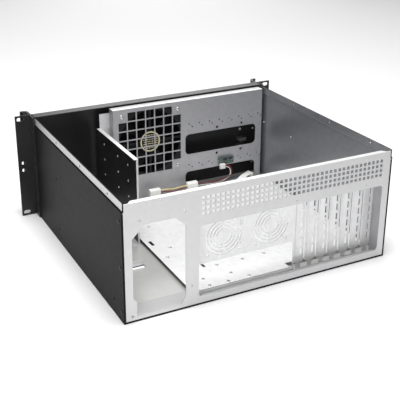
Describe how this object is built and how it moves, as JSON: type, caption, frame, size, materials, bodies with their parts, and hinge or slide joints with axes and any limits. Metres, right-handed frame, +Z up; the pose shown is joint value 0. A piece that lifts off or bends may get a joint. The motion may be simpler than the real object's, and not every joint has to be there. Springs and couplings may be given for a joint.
{
  "type": "empty rackmount server case",
  "caption": "Empty 4U rackmount server case without its lid: black folded shell and ears, zinc-coated rear panel with vents and slot covers, inner fan wall and drive bracket.",
  "frame": {"origin": "centre of the bounding box, on the underside of the shell", "axes": "+X to the right as seen from the front, +Y towards the rear, +Z up"},
  "size_m": [0.4826, 0.415, 0.177],
  "materials": {
    "black_painted_steel": "fine-textured semi-matt powder coat",
    "black_anodised": "satin black anodised",
    "galvanised_steel": "matt zinc-coated sheet",
    "zinc_screw": "zinc plated",
    "black_screw": "black zinc",
    "black_plastic": "matt moulded",
    "white_plastic": "satin nylon",
    "green_board": "solder-masked board",
    "cream_label": "paper label ring",
    "clear_lens": "moulded lens",
    "port_steel": "stamped shell",
    "filter_foam": "open-cell dust filter",
    "yellow_wire": "flexible insulation",
    "red_wire": "flexible insulation",
    "black_wire": "flexible insulation",
    "white_wire": "flexible insulation",
    "grey_ribbon": "flexible insulation"
  },
  "bodies": {
    "case": {"board_header": "white_plastic", "board_lead_red": "red_wire", "board_lead_white": "white_wire", "board_spacers": "white_plastic", "bracket_rivets": "zinc_screw", "chassis_shell": "black_painted_steel", "drive_plug_far": "white_plastic", "drive_plug_near": "white_plastic", "ear_screws_left": "black_screw", "ear_screws_right": "black_screw", "fan_filter": "filter_foam", "fan_frame": "black_plastic", "fan_hub_ring": "cream_label", "fan_screws": "black_screw", "fan_wall": "galvanised_steel", "front_panel": "black_painted_steel", "handle_left": "black_anodised", "handle_right": "black_anodised", "handle_screws": "zinc_screw", "harness_black": "black_wire", "harness_red": "red_wire", "harness_yellow": "yellow_wire", "hdd_bracket": "black_painted_steel", "lamp_lenses": "clear_lens", "motherboard_tray": "galvanised_steel", "power_switch": "black_plastic", "rack_ear_left": "black_painted_steel", "rack_ear_right": "black_painted_steel", "rear_io_panel": "galvanised_steel", "rear_panel": "galvanised_steel", "rear_rivets_left": "black_screw", "rear_rivets_right": "black_screw", "reset_switch": "black_plastic", "ribbon_cable": "grey_ribbon", "ribbon_clamps": "white_plastic", "slot_cover_1": "galvanised_steel", "slot_cover_2": "galvanised_steel", "slot_cover_3": "galvanised_steel", "slot_cover_4": "galvanised_steel", "slot_cover_5": "galvanised_steel", "slot_cover_6": "galvanised_steel", "slot_cover_7": "galvanised_steel", "slot_cover_screws": "zinc_screw", "tray_press_nuts": "zinc_screw", "usb_ports": "port_steel", "wiring_board": "green_board"},
    "fan_spinner": {"fan_rotor": "black_plastic"},
    "power_key": {"power_button": "black_plastic"},
    "reset_key": {"reset_button": "black_plastic"}
  },
  "joints": [
    {"name": "fan_spin", "type": "hinge", "parent": "case", "child": "fan_spinner", "pos_m": [0.016, -0.165, 0.1075], "axis": [0, 1, 0], "continuous": true},
    {"name": "power_press", "type": "slide", "parent": "case", "child": "power_key", "axis": [0, 1, 0], "range_m": [0, 0.0015], "stiffness_N_per_m": 200},
    {"name": "reset_press", "type": "slide", "parent": "case", "child": "reset_key", "axis": [0, 1, 0], "range_m": [0, 0.0015], "stiffness_N_per_m": 200}
  ]
}
